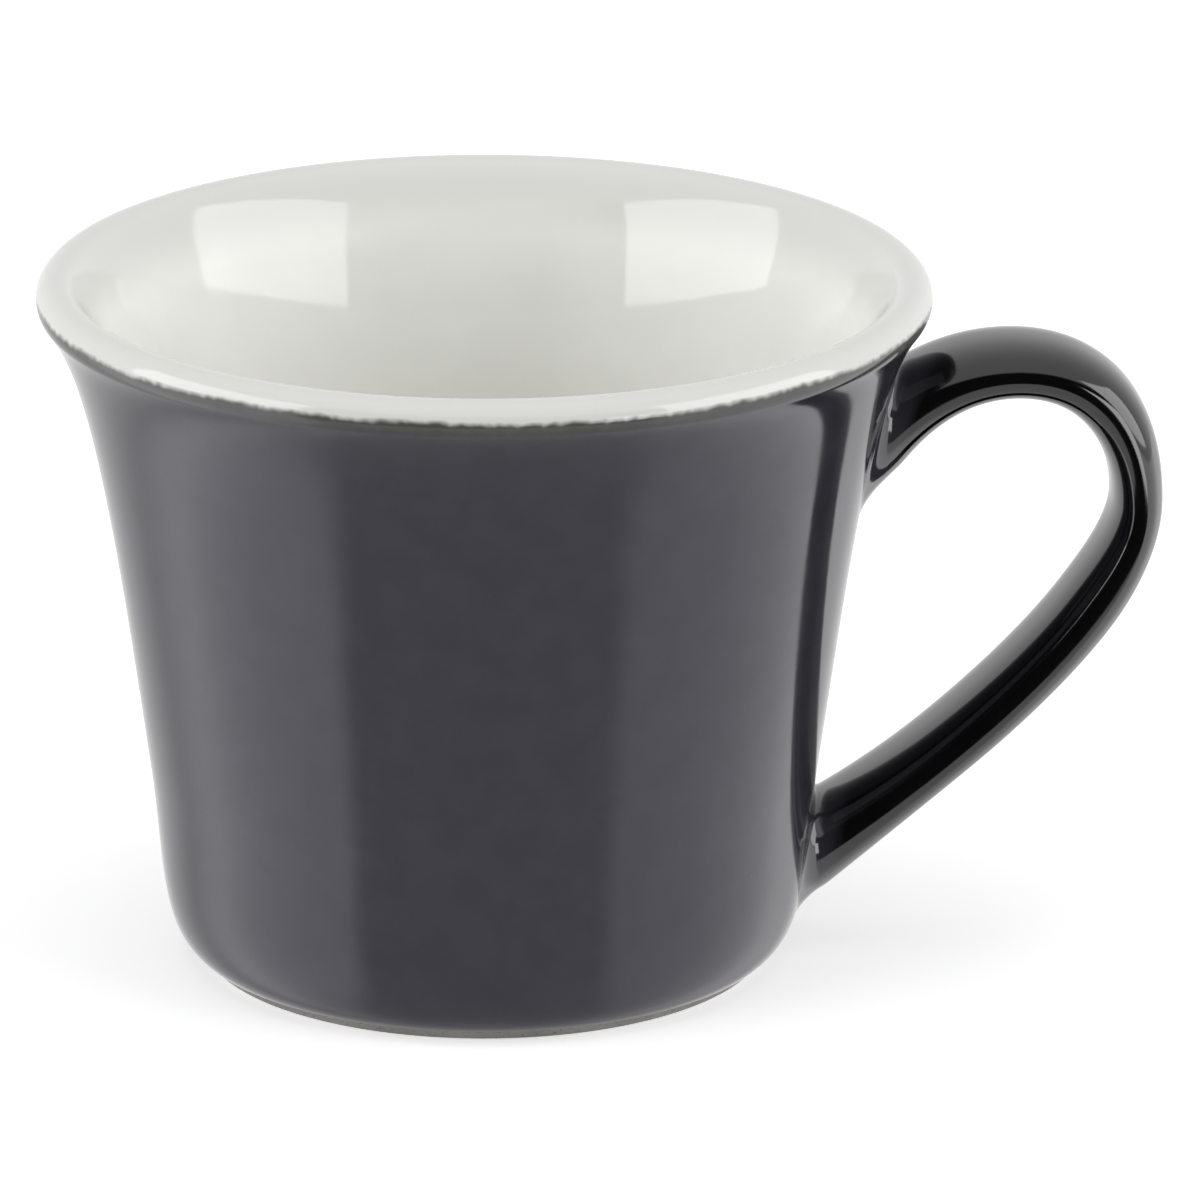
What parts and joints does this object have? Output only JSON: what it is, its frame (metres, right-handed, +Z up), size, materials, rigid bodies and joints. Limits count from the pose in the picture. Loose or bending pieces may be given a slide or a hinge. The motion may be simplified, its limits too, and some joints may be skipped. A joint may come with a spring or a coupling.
{
  "type": "espresso cup",
  "caption": "Small glazed ceramic cup with a flared rim, tapered wall, foot ring and ear handle, white inside and dark grey outside, for serving espresso.",
  "frame": {"origin": "on the table under the cup, at the middle of its footprint box, so the cup's axis stands at x = -9.2 mm", "axes": "+Z up out of the mouth, +X towards the handle"},
  "size_m": [0.0884, 0.07, 0.0554],
  "materials": {
    "clay": "bare fired stoneware, matt and slightly gritty",
    "slip": "fired slip, matt",
    "white_glaze": "gloss white glaze",
    "grey_glaze": "gloss slate-grey glaze",
    "dark_glaze": "gloss grey-black glaze"
  },
  "bodies": {
    "root": {"cup_body": "clay", "handle": "clay", "upper_slip_joint": "slip", "lower_slip_joint": "slip", "liner_glaze": "white_glaze", "outer_glaze": "grey_glaze", "handle_glaze": "dark_glaze", "base_glaze": "white_glaze"}
  },
  "joints": []
}
